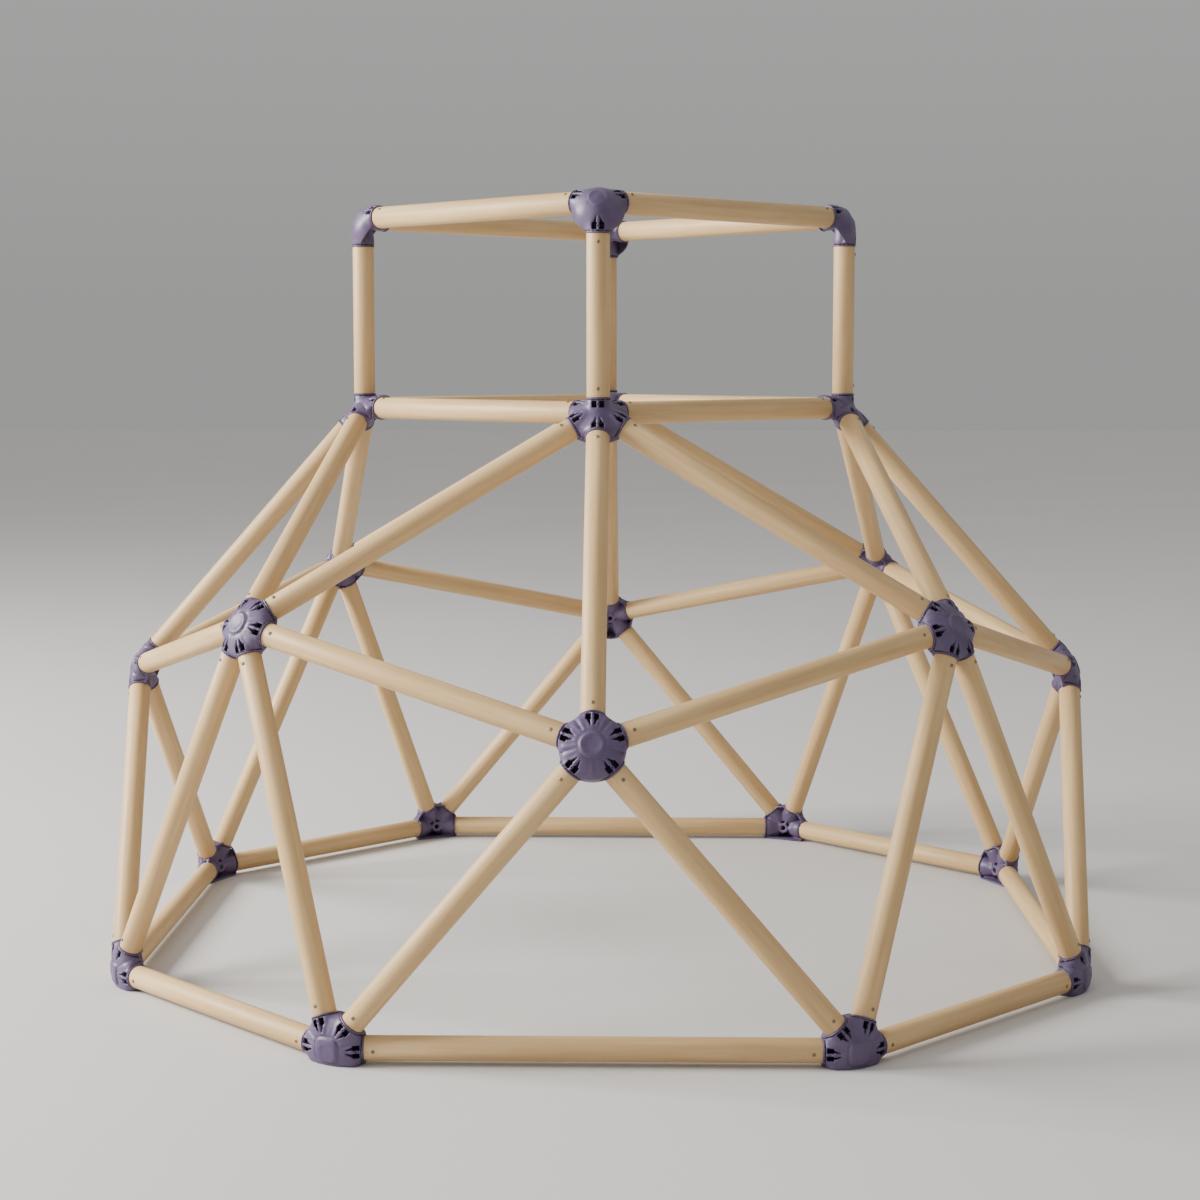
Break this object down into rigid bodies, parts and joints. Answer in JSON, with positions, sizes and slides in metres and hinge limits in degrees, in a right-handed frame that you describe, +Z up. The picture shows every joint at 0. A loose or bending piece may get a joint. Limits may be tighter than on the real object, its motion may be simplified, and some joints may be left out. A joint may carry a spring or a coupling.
{
  "type": "playground dome climber",
  "caption": "Free-standing children's dome climber of cream steel tubes and purple plastic hubs, with an open square cage on top",
  "frame": {"origin": "on the floor, under the middle of the dome", "axes": "+Z up; the front, with one long base rail, faces -Y; +X is to the right seen from the front"},
  "size_m": [1.7534, 1.7534, 1.3379],
  "materials": {
    "hub": "moulded, semi-gloss",
    "tube": "satin powder coat",
    "screw": "dull"
  },
  "bodies": {
    "root": {"base_hub_front_right": "hub", "base_hub_right_front": "hub", "base_hub_right_back": "hub", "base_hub_back_right": "hub", "base_hub_back_left": "hub", "base_hub_left_back": "hub", "base_hub_left_front": "hub", "base_hub_front_left": "hub", "low_hub_front": "hub", "low_hub_right": "hub", "low_hub_back": "hub", "low_hub_left": "hub", "high_hub_front_right": "hub", "high_hub_back_right": "hub", "high_hub_back_left": "hub", "high_hub_front_left": "hub", "upper_hub_front": "hub", "upper_hub_right": "hub", "upper_hub_back": "hub", "upper_hub_left": "hub", "top_hub_front": "hub", "top_hub_right": "hub", "top_hub_back": "hub", "top_hub_left": "hub", "base_rails_front": "tube", "base_rails_right": "tube", "base_rails_back": "tube", "base_rails_left": "tube", "legs_front": "tube", "legs_front_right": "tube", "legs_right": "tube", "legs_back_right": "tube", "legs_back": "tube", "legs_back_left": "tube", "legs_left": "tube", "legs_front_left": "tube", "mid_rails_front": "tube", "mid_rails_right": "tube", "mid_rails_back": "tube", "mid_rails_left": "tube", "struts_front": "tube", "struts_right": "tube", "struts_back": "tube", "struts_left": "tube", "upper_rail_front_right": "tube", "upper_rail_back_right": "tube", "upper_rail_back_left": "tube", "upper_rail_front_left": "tube", "post_front": "tube", "post_right": "tube", "post_back": "tube", "post_left": "tube", "top_rail_front_right": "tube", "top_rail_back_right": "tube", "top_rail_back_left": "tube", "top_rail_front_left": "tube", "base_screws": "screw", "mid_screws": "screw", "upper_screws": "screw", "top_screws": "screw"}
  },
  "joints": []
}
